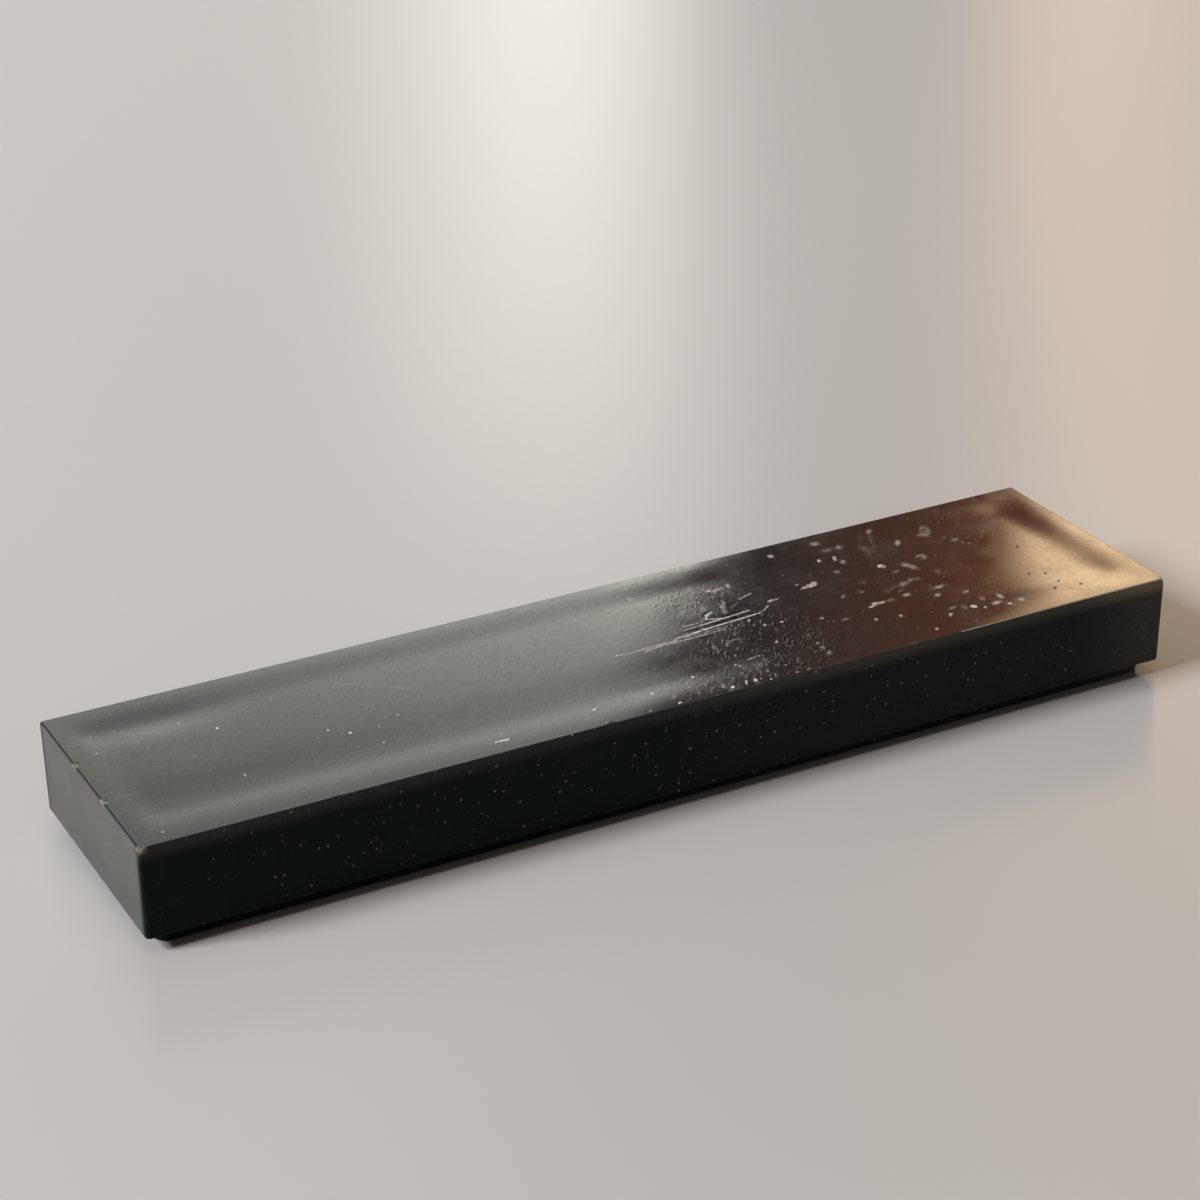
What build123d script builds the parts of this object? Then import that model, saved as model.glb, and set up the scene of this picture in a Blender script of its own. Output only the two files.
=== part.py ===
from build123d import *
import os

# Polished metal tile, one solid: a flat body standing on a thin stepped-in foot.
# Millimetres. X runs along the tile, Y across it, Z up; the origin is the middle
# of the face that it rests on.

# Overall plan, the same for the whole height of the body
tile_length = 50.0
tile_width = 12.2

# Body, with a fine arris round the polished face and a crisp lower edge
body_height = 4.2
corner_radius = 0.3
arris_radius = 0.12
lower_edge_radius = 0.1

# Foot under the body
foot_height = 0.65
foot_step_in = 0.5
foot_corner_radius = 0.8
foot_edge_break = 0.1

# Polished face: a flat floor, dished below a rim that follows the edges
rim_width = 0.6
dish_slope_width = 2.0
dish_depth = 0.03
dish_corner_radius = 2.0

body_top = foot_height + body_height
foot_length = tile_length - 2 * foot_step_in
foot_width = tile_width - 2 * foot_step_in
dish_length = tile_length - 2 * rim_width
dish_width = tile_width - 2 * rim_width
floor_length = dish_length - 2 * dish_slope_width
floor_width = dish_width - 2 * dish_slope_width

with BuildPart() as tile:
    # Body
    with BuildSketch(Plane.XY.offset(foot_height)):
        RectangleRounded(tile_length, tile_width, corner_radius)
    extrude(amount=body_height)
    lower_edges = tile.faces().sort_by(Axis.Z)[0].edges()
    fillet(lower_edges, lower_edge_radius)
    arrises = tile.faces().sort_by(Axis.Z)[-1].edges()
    fillet(arrises, arris_radius)

    # Dish of the polished face
    with BuildSketch(Plane.XY.offset(body_top)):
        RectangleRounded(dish_length, dish_width, dish_corner_radius)
    with BuildSketch(Plane.XY.offset(body_top - dish_depth)):
        RectangleRounded(floor_length, floor_width, dish_corner_radius)
    loft(ruled=True, mode=Mode.SUBTRACT)

    # Foot, with its lower edge broken
    with BuildSketch(Plane.XY):
        RectangleRounded(foot_length, foot_width, foot_corner_radius)
    extrude(amount=foot_height)
    foot_edges = tile.faces().sort_by(Axis.Z)[0].edges()
    chamfer(foot_edges, foot_edge_break)

tile.part.label = "tile"

os.makedirs("parts", exist_ok=True)
export_step(tile.part, "parts/tile.step")
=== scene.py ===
"""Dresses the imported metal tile: its polished, dished face, black sides, ground ends, scratches and
dust, on a pale studio floor. Every length is in metres and every angle in degrees, unless said."""

import itertools
import math
import random
from collections import namedtuple

import bmesh
import bpy
from bpy.props import FloatProperty, FloatVectorProperty, IntProperty, PointerProperty
from mathutils import Matrix, Vector, noise


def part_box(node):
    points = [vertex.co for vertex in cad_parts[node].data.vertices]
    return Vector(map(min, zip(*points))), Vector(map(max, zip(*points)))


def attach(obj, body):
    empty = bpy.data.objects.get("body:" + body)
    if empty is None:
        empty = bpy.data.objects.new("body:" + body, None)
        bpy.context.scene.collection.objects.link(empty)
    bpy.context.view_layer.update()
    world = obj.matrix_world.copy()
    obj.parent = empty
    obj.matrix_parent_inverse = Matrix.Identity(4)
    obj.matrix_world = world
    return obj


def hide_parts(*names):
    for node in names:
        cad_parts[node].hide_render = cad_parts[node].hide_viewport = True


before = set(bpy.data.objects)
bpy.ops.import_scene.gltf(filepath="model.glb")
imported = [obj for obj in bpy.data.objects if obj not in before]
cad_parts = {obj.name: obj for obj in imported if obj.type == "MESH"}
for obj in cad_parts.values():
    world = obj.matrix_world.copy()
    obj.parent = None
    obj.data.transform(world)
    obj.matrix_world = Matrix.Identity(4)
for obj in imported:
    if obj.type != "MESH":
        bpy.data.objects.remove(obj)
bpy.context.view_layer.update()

bl_info = {
    "name": "Metal Tile",
    "version": (1, 0, 0),
    "blender": (4, 5, 0),
    "location": "View3D > Sidebar > Metal Tile",
    "description": "A polished metal tile with a dished face, on a pale studio floor",
    "category": "Add Mesh",
}

MM = 0.001
BODY = "root"
NODE = "tile"

LOW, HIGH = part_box(NODE)
HALF_LENGTH = (HIGH.x - LOW.x) / 2
HALF_WIDTH = (HIGH.y - LOW.y) / 2
TOP = HIGH.z

# Marks on the polished face, in millimetres from its middle: x along the tile, y across it.
# A stroke is a scratch: start x, y, end x, y, width and brightness, which is negative where the shaded side
# of a groove is painted dark as painted shade.
STROKES = (
    (-0.84, -0.58, 0.38, -0.6, 0.1, 0.35), (0.38, -0.58, 2.25, -0.53, 0.119, 0.44),
    (0.56, -0.8, 1.7, -0.62, 0.085, 0.4), (1.7, -0.7, 3.77, -0.65, 0.055, 0.66),
    (3.77, -0.65, 4.74, -0.61, 0.051, 0.47), (2.28, -0.37, 2.75, -0.34, 0.08, 0.6),
    (2.75, -0.34, 4.26, -0.17, 0.085, 1.0), (4.26, -0.17, 6.85, 0.03, 0.076, 1.0),
    (2.6, -0.06, 3.21, 0.01, 0.088, -0.8), (3.21, 0.01, 6.06, 0.18, 0.123, -1.0),
    (3.01, 0.17, 3.95, 0.24, 0.06, 0.4), (3.95, 0.24, 6.61, 0.49, 0.068, 0.79),
    (5.26, 0.49, 6.2, 0.62, 0.088, -0.8), (2.68, -0.48, 4.91, -0.42, 0.051, 0.4),
    (3.16, 0.5, 4.21, 0.5, 0.068, 0.43), (4.43, 0.64, 4.66, 0.99, 0.085, 0.95),
    (4.66, 0.99, 5.0, 1.13, 0.119, 1.0), (4.4, 0.95, 4.84, 1.33, 0.088, -0.9),
    (4.84, 1.33, 5.19, 1.37, 0.088, -0.7), (4.44, 0.61, 5.18, 0.36, 0.085, 0.84),
    (6.85, 0.04, 7.2, 0.17, 0.051, 0.42), (7.2, 0.17, 7.6, 0.48, 0.068, 0.47),
    (7.07, 1.81, 7.55, 1.97, 0.085, 0.42), (3.92, -2.01, 4.31, -1.71, 0.051, 0.37),
    (4.31, -1.71, 4.71, -1.74, 0.051, 0.32), (4.06, -3.69, 4.68, -3.61, 0.06, 0.47),
    (13.1, -0.87, 15.2, -0.38, 0.09, 0.16), (15.0, 3.0, 15.9, 5.0, 0.2, 0.07),
    (-12.6, 3.1, -10.1, 1.2, 0.16, 0.08),
)

# A worn patch is finely pitted: its middle x, y and its reach along and across the tile.
WORN = (
    (5.0, -1.4, 3.8, 5.0),
    (3.6, -5.2, 5.2, 2.4),
    (4.8, 2.0, 3.0, 2.8),
    (6.6, -2.6, 2.8, 4.2),
)

# The worn patch was rubbed one way: the angle of its streaks from the x axis, in radians.
STREAK_TURN = math.radians(62.0)

# The turn that lays the hairlines on the ends, 30 degrees down towards the back.
END_STREAKS_TURN = (math.radians(90.0), math.radians(90.0), math.radians(-30.0))

# A fleck is a raised flake or a smear on the metal. Its turn is in degrees.
Fleck = namedtuple("Fleck", "x y long wide turn bright")
FLECKS = [Fleck(*row) for row in (
    (10.2, 1.3, 1.33, 0.39, 11, 1.0), (10.62, 1.4, 0.51, 0.32, 62, 0.95),
    (9.88, 1.72, 0.31, 0.25, 62, 0.72), (8.02, 0.8, 0.83, 0.29, 12, 0.85),
    (6.88, 1.74, 0.53, 0.25, 18, 0.95), (5.86, 3.1, 0.26, 0.23, 62, 0.6),
    (6.42, 3.08, 0.71, 0.2, 8, 0.71), (7.06, 3.18, 0.18, 0.44, -15, 0.71),
    (10.4, 4.92, 0.53, 0.34, 62, 0.75), (12.17, 3.38, 0.53, 0.25, 62, 0.8),
    (12.93, 3.25, 0.53, 0.28, 62, 0.85), (13.09, 2.78, 0.39, 0.31, 55, 0.71),
    (12.98, 5.1, 0.39, 0.52, 70, 0.56), (13.8, 4.25, 0.51, 0.36, 45, 0.56),
    (15.98, 5.01, 0.51, 0.31, 55, 0.69), (14.75, 3.55, 0.57, 0.23, 60, 0.44),
    (16.47, 3.32, 0.57, 0.23, 55, 0.62), (18.0, 3.49, 0.48, 0.57, 60, 0.66),
    (18.3, 4.08, 0.57, 0.21, 55, 0.5), (14.35, 1.41, 0.62, 0.44, 62, 0.9),
    (14.6, 0.65, 0.53, 0.18, 15, 0.44), (15.6, 0.62, 0.37, 0.81, 10, 0.52),
    (16.63, 1.3, 0.51, 0.26, 45, 0.38), (19.03, 2.29, 0.34, 0.29, 40, 0.44),
    (11.0, 2.34, 0.34, 0.18, 45, 0.5), (11.95, -1.83, 1.13, 0.41, 7, 0.8),
    (12.8, -1.7, 0.41, 0.16, 5, 0.44), (13.7, -1.66, 0.39, 0.26, 5, 0.71),
    (13.7, -1.15, 0.41, 0.18, 5, 0.38), (15.5, -1.67, 0.99, 0.28, 3, 0.62),
    (14.95, -2.34, 0.34, 0.26, 40, 0.69), (16.25, -2.7, 0.44, 0.18, 15, 0.56),
    (11.08, -0.38, 0.41, 0.16, 50, 0.62), (9.93, -2.4, 0.48, 0.16, 5, 0.44),
    (11.08, -3.14, 0.34, 0.23, 62, 0.9), (12.28, -3.32, 0.4, 0.25, 62, 0.85),
    (14.29, -4.41, 0.34, 0.28, 62, 0.95), (14.8, -3.81, 0.5, 0.16, 8, 0.5),
    (15.65, -4.2, 0.37, 0.38, 62, 0.85), (16.09, -4.52, 0.4, 0.32, 62, 0.95),
    (16.8, -4.36, 0.46, 0.26, 15, 0.71), (17.34, -3.87, 0.23, 0.44, 0, 0.62),
    (17.29, -4.74, 0.31, 0.28, 62, 0.8), (18.0, -4.63, 0.34, 0.31, 10, 0.69),
    (19.88, -2.56, 0.26, 0.15, 62, 0.25), (20.56, -2.89, 0.26, 0.13, 62, 0.22),
    (20.64, -3.82, 0.26, 0.13, 62, 0.25), (20.0, -4.41, 0.28, 0.19, 62, 0.22),
    (21.3, -4.63, 0.28, 0.19, 62, 0.22), (21.15, 0.16, 0.26, 0.17, 62, 0.15),
    (5.99, 1.69, 0.31, 0.15, 62, 0.72), (5.7, 1.43, 0.28, 0.15, 62, 0.6),
    (5.54, 0.86, 0.3, 0.2, 50, 0.55), (7.29, -1.25, 0.31, 0.17, 62, 1.25),
    (6.46, -1.15, 0.28, 0.17, 62, 0.6), (6.05, -2.84, 0.28, 0.15, 62, 0.7),
    (6.05, -0.42, 0.4, 0.17, 62, 0.72), (1.14, -3.96, 0.18, 0.18, 0, 1.25),
    (-1.16, -4.47, 0.2, 0.18, 0, 1.1), (0.53, -4.72, 0.18, 0.14, 0, 0.6),
    (-0.71, -0.55, 0.26, 0.14, 0, 1.0), (1.52, 3.2, 0.12, 0.36, -20, 0.45),
    (-3.94, -4.5, 0.5, 0.14, 30, 1.1), (-8.66, -5.1, 0.8, 0.2, 0, 1.25),
    (-5.28, 4.31, 0.22, 0.16, 30, 0.55), (-19.87, 3.02, 0.14, 0.22, 0, 1.0),
    (-18.6, 1.78, 0.18, 0.22, 0, 1.15), (-19.1, -2.53, 0.1, 0.34, -10, 0.85),
    (-14.6, -0.67, 0.12, 0.22, 0, 0.85), (-13.87, -1.34, 0.14, 0.26, 0, 0.95),
    (-12.6, -1.49, 0.12, 0.3, 0, 0.75), (-11.5, -0.86, 0.12, 0.22, 0, 0.8),
    (-13.0, -2.75, 0.12, 0.22, 0, 0.95), (13.1, 4.25, 0.6, 0.45, 14, 0.24),
    (15.18, 4.65, 0.84, 0.28, 62, 0.24), (14.87, 3.33, 1.1, 0.4, 62, 0.3),
    (18.34, 3.78, 1.15, 0.5, 62, 0.42), (19.02, 2.3, 0.5, 0.18, 14, 0.45),
    (18.72, 2.72, 0.34, 0.18, 30, 0.38), (16.58, 1.57, 0.62, 0.25, 14, 0.36),
    (15.42, 1.06, 0.38, 0.51, 0, 0.44), (13.99, -0.63, 1.08, 0.44, 8, 0.43),
    (13.12, -0.89, 0.54, 0.36, 8, 0.35), (12.76, -1.76, 0.46, 0.29, 5, 0.33),
    (14.89, -0.43, 0.62, 0.39, 8, 0.53), (16.49, -3.67, 0.23, 0.44, 0, 0.33),
    (15.29, -4.0, 0.31, 0.39, 0, 0.56), (16.41, -0.38, 0.46, 0.6, 10, 0.25),
    (12.24, 1.98, 0.38, 0.36, 5, 0.33), (14.67, 3.86, 1.0, 0.26, 62, 0.18),
    (12.59, 0.44, 0.38, 0.39, 20, 0.3), (12.07, -0.36, 0.38, 0.31, 5, 0.28),
    (9.03, -1.83, 0.37, 0.26, 62, 0.72), (0.54, -4.75, 0.24, 0.16, 62, 0.75),
    (-0.45, -5.17, 0.22, 0.1, 62, 0.6), (2.15, -5.66, 0.31, 0.19, 62, 1.2),
    (2.9, -5.51, 0.36, 0.14, 62, 1.0), (3.34, -5.59, 0.31, 0.19, 62, 1.2),
    (3.63, -5.57, 0.14, 0.14, 62, 0.8), (3.98, -5.82, 0.2, 0.12, 62, 0.9),
    (4.33, -5.6, 0.56, 0.09, 62, 0.85), (1.84, -5.43, 0.41, 0.16, 62, 0.72),
    (3.33, -3.89, 0.29, 0.13, 62, 0.9), (3.46, -4.08, 0.17, 0.19, 62, 0.6),
    (3.79, -3.08, 0.26, 0.12, 62, 0.6), (6.45, -0.77, 0.53, 0.06, 62, 0.75),
    (6.06, -0.88, 0.29, 0.13, 62, 0.5), (4.02, -1.49, 0.22, 0.11, 62, 0.6),
    (3.33, -2.36, 0.53, 0.08, 62, 0.6), (3.39, -1.89, 0.41, 0.13, 62, 0.5),
    (4.73, -4.18, 0.17, 0.11, 62, 0.5), (5.23, -4.97, 0.19, 0.14, 62, 0.5),
    (3.62, -4.68, 0.19, 0.16, 62, 0.4), (4.26, -5.04, 0.22, 0.16, 62, 0.45),
    (5.31, -3.37, 0.48, 0.08, 62, 0.4), (3.98, 1.85, 0.31, 0.24, 62, 0.65),
    (4.44, 2.2, 0.17, 0.11, 62, 0.4), (4.57, 1.82, 0.17, 0.27, 62, 0.45),
    (4.88, 1.47, 0.43, 0.13, 62, 0.6), (2.22, -4.27, 0.17, 0.16, 62, 0.45),
    (1.15, -1.13, 0.24, 0.1, 62, 0.55), (1.52, -0.19, 0.17, 0.27, 62, 0.5),
    (4.26, -1.74, 0.17, 0.32, 62, 0.45), (8.38, -0.34, 0.12, 0.32, 62, 0.4),
    (6.68, -1.89, 0.48, 0.08, 62, 0.4), (5.28, 3.72, 0.38, 0.24, 62, 0.6),
    (5.56, 3.63, 0.29, 0.28, 62, 0.55), (5.81, 3.35, 0.29, 0.24, 62, 0.5),
    (5.99, 3.14, 0.29, 0.28, 62, 0.7), (7.56, -3.86, 0.29, 0.21, 62, 0.45),
    (7.54, -4.31, 0.34, 0.26, 62, 0.45), (7.51, -4.91, 0.43, 0.17, 62, 0.55),
    (5.89, -5.82, 0.2, 0.2, 62, 0.6), (5.3, -5.8, 0.2, 0.2, 62, 0.65), (1.84, -5.34, 0.43, 0.24, 62, 0.6),
    (1.56, 3.2, 0.58, 0.15, 62, 0.5), (2.45, 4.16, 0.34, 0.28, 62, 0.35),
    (-1.32, -1.01, 0.72, 0.11, 62, 0.3), (-0.53, -5.82, 0.22, 0.2, 62, 1.0),
    (-1.95, -5.84, 0.2, 0.18, 62, 0.9), (-4.07, -5.84, 0.2, 0.18, 62, 0.8),
    (-0.49, -5.22, 0.34, 0.11, 62, 0.5), (5.77, 1.42, 0.58, 0.26, 62, 0.6),
    (5.55, 0.94, 0.38, 0.21, 62, 0.6), (4.91, 1.79, 0.34, 0.19, 62, 0.4),
    (4.34, 1.26, 0.24, 0.28, 62, 0.35), (12.94, -5.28, 0.34, 0.2, 62, 0.85),
    (14.09, 1.9, 0.4, 0.22, 62, 0.3), (17.72, -2.32, 0.4, 0.24, 62, 0.36),
    (-22.43, 2.93, 0.16, 0.16, 0, 0.75), (-23.79, 2.14, 0.16, 0.14, 0, 0.65),
    (-22.99, 1.85, 0.12, 0.14, 0, 0.6), (-22.82, 5.35, 0.14, 0.12, 0, 0.6),
    (-22.18, 5.16, 0.14, 0.12, 0, 0.6), (-23.57, 3.5, 0.2, 0.14, 0, 0.55),
    (-23.63, -5.26, 0.2, 0.2, 0, 0.55),
)]

# A fleck that is dimmer than this, and at least this long or wide in millimetres, is a smear.
SMEAR_BRIGHTNESS = 0.72
SMEAR_LENGTH = 0.30

# A nick is a dent in an edge of the top face: x and y as shares of half the tile, and its radius and
# depth in millimetres.
NICKS = (
    (-1.0, 0.270, 0.22, 0.07),
    (-1.0, -0.290, 0.26, 0.09),
    (-1.0, 0.420, 0.14, 0.04),
    (-1.0, -1.000, 0.34, 0.12),
    (1.0, -1.000, 0.30, 0.10),
    (-0.66, -1.000, 0.16, 0.05),
    (-0.16, -1.000, 0.16, 0.05),
    (0.11, -1.000, 0.20, 0.05),
    (0.21, -1.000, 0.16, 0.05),
    (0.45, -1.000, 0.18, 0.05),
)

# The face's marks: how worn the rest of the face is, and how strongly its fine specks of abrasion, painted
# pale as glints, its pits, painted dark as shade, the crumbs in the worn patch and the dust all over show.
LEAST_WORN = 0.14
PAINTED_GLINTS_SHOW = 0.19
PAINTED_PIT_SHADE_SHOWS = 0.90
CRUMBS_SHOW = 0.50
DUST_SHOWS = 0.20

# Dust on the sides, from coarse to fine: specks per metre, the share of them that is there, the size
# of a speck in its cell, and how strongly it shows.
SIDE_SPECKS = (
    (1300.0, 0.80, 0.12, 0.62),
    (2500.0, 0.75, 0.18, 0.36),
    (7000.0, 0.55, 0.32, 0.10),
)

# How far up a part of the body's surface has to point to be polished and not black: in general, on the
# back arris, and on every arris from this share of the half length on, where it is rubbed bright.
POLISHED_TILT = 0.995
BACK_ARRIS_TILT = 0.25
BRIGHT_ARRIS_TILT = 0.80
BRIGHT_ARRIS_START = 0.55

# Mesh rings round the arris, down the wall and round the lower edge.
ARRIS_STEPS = 5
WALL_STEPS = 9
EDGE_STEPS = 5

# Height of a flake as a share of its width, and how finely flakes and loose specks are meshed.
FLAKE_RISE = 0.25
FLAKE_DETAIL = 3
SPECK_DETAIL = 1

Outline = namedtuple("Outline", "half_x half_y radius")


def length(name, description, default):
    """A length setting, stored in metres"""
    return FloatProperty(
        name=name, description=description, default=default, min=0.0, unit="LENGTH", precision=5
    )


def colour(name, description, default):
    """A colour setting"""
    return FloatVectorProperty(
        name=name, description=description, default=default, size=3, subtype="COLOR", min=0.0, soft_max=1.0
    )


def amount(name, description, default):
    """A plain setting of 0 or more"""
    return FloatProperty(name=name, description=description, default=default, min=0.0)


def share(name, description, default):
    """A setting from 0 to 1"""
    return FloatProperty(
        name=name, description=description, default=default, min=0.0, max=1.0, subtype="FACTOR"
    )


def degrees(name, description, default):
    """An angle setting, stored in radians"""
    return FloatProperty(
        name=name, description=description, default=math.radians(default), subtype="ANGLE", unit="ROTATION"
    )


class TileShape(bpy.types.PropertyGroup):
    """Sizes of the tile's body"""

    rim: length("Rim", "Flat rim round the polished face", 0.1 * MM)
    side_slope: length("Side Slope", "Width of the soft slopes along the long sides", 2.6 * MM)
    left_slope: length("Left Slope", "Width of the soft slope at the left end", 2.0 * MM)
    right_slope: length("Right Slope", "Width of the soft slope at the right end", 2.8 * MM)
    dish_depth: length("Dish Depth", "How far the floor lies below the rim", 0.0142 * MM)
    end_depth: length("End Depth", "How much deeper the floor lies at the right end", 0.0216 * MM)
    end_reach: length("End Reach", "How far the deeper part reaches in from the right end", 6.2 * MM)
    trough: share("Trough", "How much deeper the floor lies along the front side", 0.46)
    trough_width: length("Trough Width", "Width of that trough", 1.5 * MM)
    trough_end: amount("Trough End", "How many times deeper again the trough is at its left end", 1.6)
    hollow: length("Hollow", "Depth of the hollow in the back left corner", 0.020 * MM)
    waviness: length("Waviness", "Height of the slow waves that polishing left", 0.0010 * MM)
    wave_length: length("Wave Length", "Distance between those waves", 5.0 * MM)
    arris: length("Arris", "Radius of the edge round the polished face", 0.10 * MM)
    top_corner: length("Top Corner", "Radius of the upright corners at the polished face", 0.14 * MM)
    low_corner: length("Low Corner", "Radius of the upright corners at the lower edge", 0.26 * MM)
    low_edge: length("Lower Edge", "Radius of the body's lower edge", 0.10 * MM)
    foot_height: length("Foot Height", "Height of the foot", 0.65 * MM)
    foot_step: length("Foot Step", "How far the foot is stepped in", 0.5 * MM)
    foot_corner: length("Foot Corner", "Radius of the foot's corners", 0.8 * MM)
    foot_break: length("Foot Break", "Width of the broken lower edge of the foot", 0.1 * MM)
    pitch: length("Mesh Pitch", "Distance between the mesh lines of the face", 0.11 * MM)
    corner_cells: IntProperty(
        name="Corner Cells", description="Mesh cells along each side of a corner", default=4, min=2
    )


class TileFinish(bpy.types.PropertyGroup):
    """Colours and polish of the tile"""

    metal: colour("Metal", "Polished metal of the face", (0.28, 0.275, 0.253))
    ground_metal: colour("Ground Metal", "Metal of the ground ends", (0.152, 0.160, 0.152))
    black: colour("Black", "Black of the long sides and the foot", (0.0025, 0.0070, 0.0080))
    # The lighter black of the sides: along their upper edge, towards the right end, and in random smudges.
    lighter_black: colour("Rubbed Black", "The black where it is rubbed or filmed with dust", (0.072, 0.070, 0.060))
    # Warm Edge is a painted warm reflection on the upper edge of the sides at the right end.
    painted_warm_reflection: colour("Warm Edge", "Bare metal of the worn upper edge at the right end", (0.42, 0.32, 0.16))
    dust: colour("Dust", "Dust and abraded metal", (0.52, 0.485, 0.44))
    # Flake is also the warm end of the flakes' painted warm light.
    flake: colour("Flake", "Flakes that stand on the polished face", (0.52, 0.425, 0.38))
    haze: share("Haze", "Share of the face that a fine haze covers", 0.062)
    polish: share("Polish", "Roughness of the polished face", 0.06)
    satin: share("Satin", "Roughness of the long sides", 0.38)
    ground: share("Ground", "Roughness of the ground ends", 0.30)
    abraded: share("Abraded", "Roughness of scratches and dust", 0.62)


class TileDust(bpy.types.PropertyGroup):
    """Loose dust and flakes on the polished face"""

    specks: IntProperty(name="Specks", description="Number of fine specks", default=230, min=0)
    smallest: length("Smallest", "Width of the smallest speck", 0.045 * MM)
    largest: length("Largest", "Width of the largest speck", 0.13 * MM)
    border: length("Border", "Width of the border that loose specks keep off", 0.5 * MM)
    seed: IntProperty(name="Seed", description="Seed of the specks' places", default=11)


class TileStage(bpy.types.PropertyGroup):
    """Floor, light, reflection card and camera"""

    floor: colour("Floor", "Pale floor", (0.470, 0.461, 0.450))
    floor_gloss: share("Floor Gloss", "Roughness of the floor", 0.22)
    floor_shine: share("Floor Shine", "Specular level of the floor", 0.75)
    floor_size: length("Floor Size", "Width of the floor", 40.0)
    backdrop: colour("Backdrop", "What the camera and mirrors see round the floor", (0.80, 0.79, 0.77))
    fill: colour("Fill", "Warm light from all round", (0.125, 0.103, 0.090))
    key: colour("Key", "Light of the near softbox", (0.97, 0.985, 1.0))
    key_level: amount("Key Level", "How bright the near softbox makes a white floor", 0.80)
    key_size: length("Key Size", "Width of the near softbox", 0.14)
    key_distance: length("Key Distance", "Distance of the near softbox", 0.50)
    key_turn: degrees("Key Turn", "Direction of the near softbox, from +X towards +Y", 175)
    key_height: degrees("Key Height", "Height of the near softbox over the floor", 37)
    top: colour("Top", "Warm light of the overhead softbox", (1.0, 0.86, 0.72))
    top_level: amount("Top Level", "How bright the overhead softbox makes a white floor", 0.235)
    top_size: length("Top Size", "Width of the overhead softbox", 0.5)
    top_distance: length("Top Distance", "Distance of the overhead softbox", 0.6)
    top_turn: degrees("Top Turn", "Direction of the overhead softbox, from +X towards +Y", 100)
    top_height: degrees("Top Height", "Height of the overhead softbox over the floor", 80)
    card_distance: length("Card Distance", "Distance of the reflection card", 4.0)
    turn: degrees("Camera Turn", "Azimuth of the camera", -27.67)
    tilt: degrees("Camera Tilt", "Elevation of the camera", 25.856)
    roll: degrees("Camera Roll", "Roll of the camera", -0.826)
    place: FloatVectorProperty(
        name="Camera Place", description="Place of the camera", subtype="TRANSLATION", unit="LENGTH",
        default=(-54.79 * MM, -102.06 * MM, 63.30 * MM), precision=5,
    )
    lens: FloatProperty(
        name="Lens", description="Focal length on a 36 mm sensor", default=87.92, unit="CAMERA"
    )


def feed(tree, socket, value):
    """Links a socket to the input, or sets the input to a plain value"""
    if isinstance(value, bpy.types.NodeSocket):
        tree.links.new(value, socket)
    else:
        socket.default_value = value


def add_node(tree, kind, settings=None, **inputs):
    """A node with its settings, and its inputs by their names, with _ for a space"""
    node = tree.nodes.new(kind)
    for key, value in (settings or {}).items():
        setattr(node, key, value)
    for key, value in inputs.items():
        feed(tree, node.inputs[key.replace("_", " ")], value)
    return node


def calc(tree, operation, *values, clamp=False):
    """The result of a Math node"""
    node = add_node(tree, "ShaderNodeMath", {"operation": operation, "use_clamp": clamp})
    for socket, value in zip(node.inputs, values):
        feed(tree, socket, value)
    return node.outputs[0]


def vector_calc(tree, operation, *values, output="Vector"):
    """The result of a Vector Math node"""
    node = add_node(tree, "ShaderNodeVectorMath", {"operation": operation})
    for socket, value in zip(node.inputs, values):
        feed(tree, socket, value)
    return node.outputs[output]


def times(tree, *factors):
    """The product of several values"""
    result = factors[0]
    for factor in factors[1:]:
        result = calc(tree, "MULTIPLY", result, factor)
    return result


def largest(tree, masks):
    """The largest of several masks"""
    result = masks[0]
    for mask in masks[1:]:
        result = calc(tree, "MAXIMUM", result, mask)
    return result


def ramp(tree, value, start, end, low=0.0, high=1.0):
    """A smooth step from low to high as value goes from start to end"""
    node = add_node(
        tree, "ShaderNodeMapRange", {"interpolation_type": "SMOOTHSTEP"},
        Value=value, From_Min=start, From_Max=end, To_Min=low, To_Max=high,
    )
    return node.outputs[0]


def blend(tree, factor, first, second):
    """The mix of two colours"""
    node = add_node(tree, "ShaderNodeMix", {"data_type": "RGBA"})
    feed(tree, node.inputs["Factor"], factor)
    colours = [socket for socket in node.inputs if socket.type == "RGBA"]
    for socket, value in zip(colours, (first, second)):
        feed(tree, socket, value)
    return next(socket for socket in node.outputs if socket.type == "RGBA")


def opaque(values):
    """A colour with its alpha"""
    return (*values, 1.0)


def toned(values, level):
    """A colour with its alpha, made darker or brighter"""
    return opaque([part * level for part in values])


def new_group(name, outputs=("Mask",), **inputs):
    """A shader node group that reads a Vector, and its input and output sockets, with _ for a space"""
    group = bpy.data.node_groups.new(name, "ShaderNodeTree")
    for label, default in {"Vector": (0, 0, 0), **inputs}.items():
        kind = "NodeSocketVector" if isinstance(default, tuple) else "NodeSocketFloat"
        socket = group.interface.new_socket(name=label.replace("_", " "), in_out="INPUT", socket_type=kind)
        socket.default_value = default
    for label in outputs:
        group.interface.new_socket(name=label, in_out="OUTPUT", socket_type="NodeSocketFloat")
    return group, group.nodes.new("NodeGroupInput").outputs, group.nodes.new("NodeGroupOutput").inputs


def place_group(tree, name, **inputs):
    """The outputs of a node group placed in a material"""
    node = tree.nodes.new("ShaderNodeGroup")
    node.node_tree = bpy.data.node_groups[name]
    for key, value in inputs.items():
        feed(tree, node.inputs[key.replace("_", " ")], value)
    return node.outputs


def group_mask(tree, name, **inputs):
    """The mask of a node group placed in a material"""
    return place_group(tree, name, **inputs)["Mask"]


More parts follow.
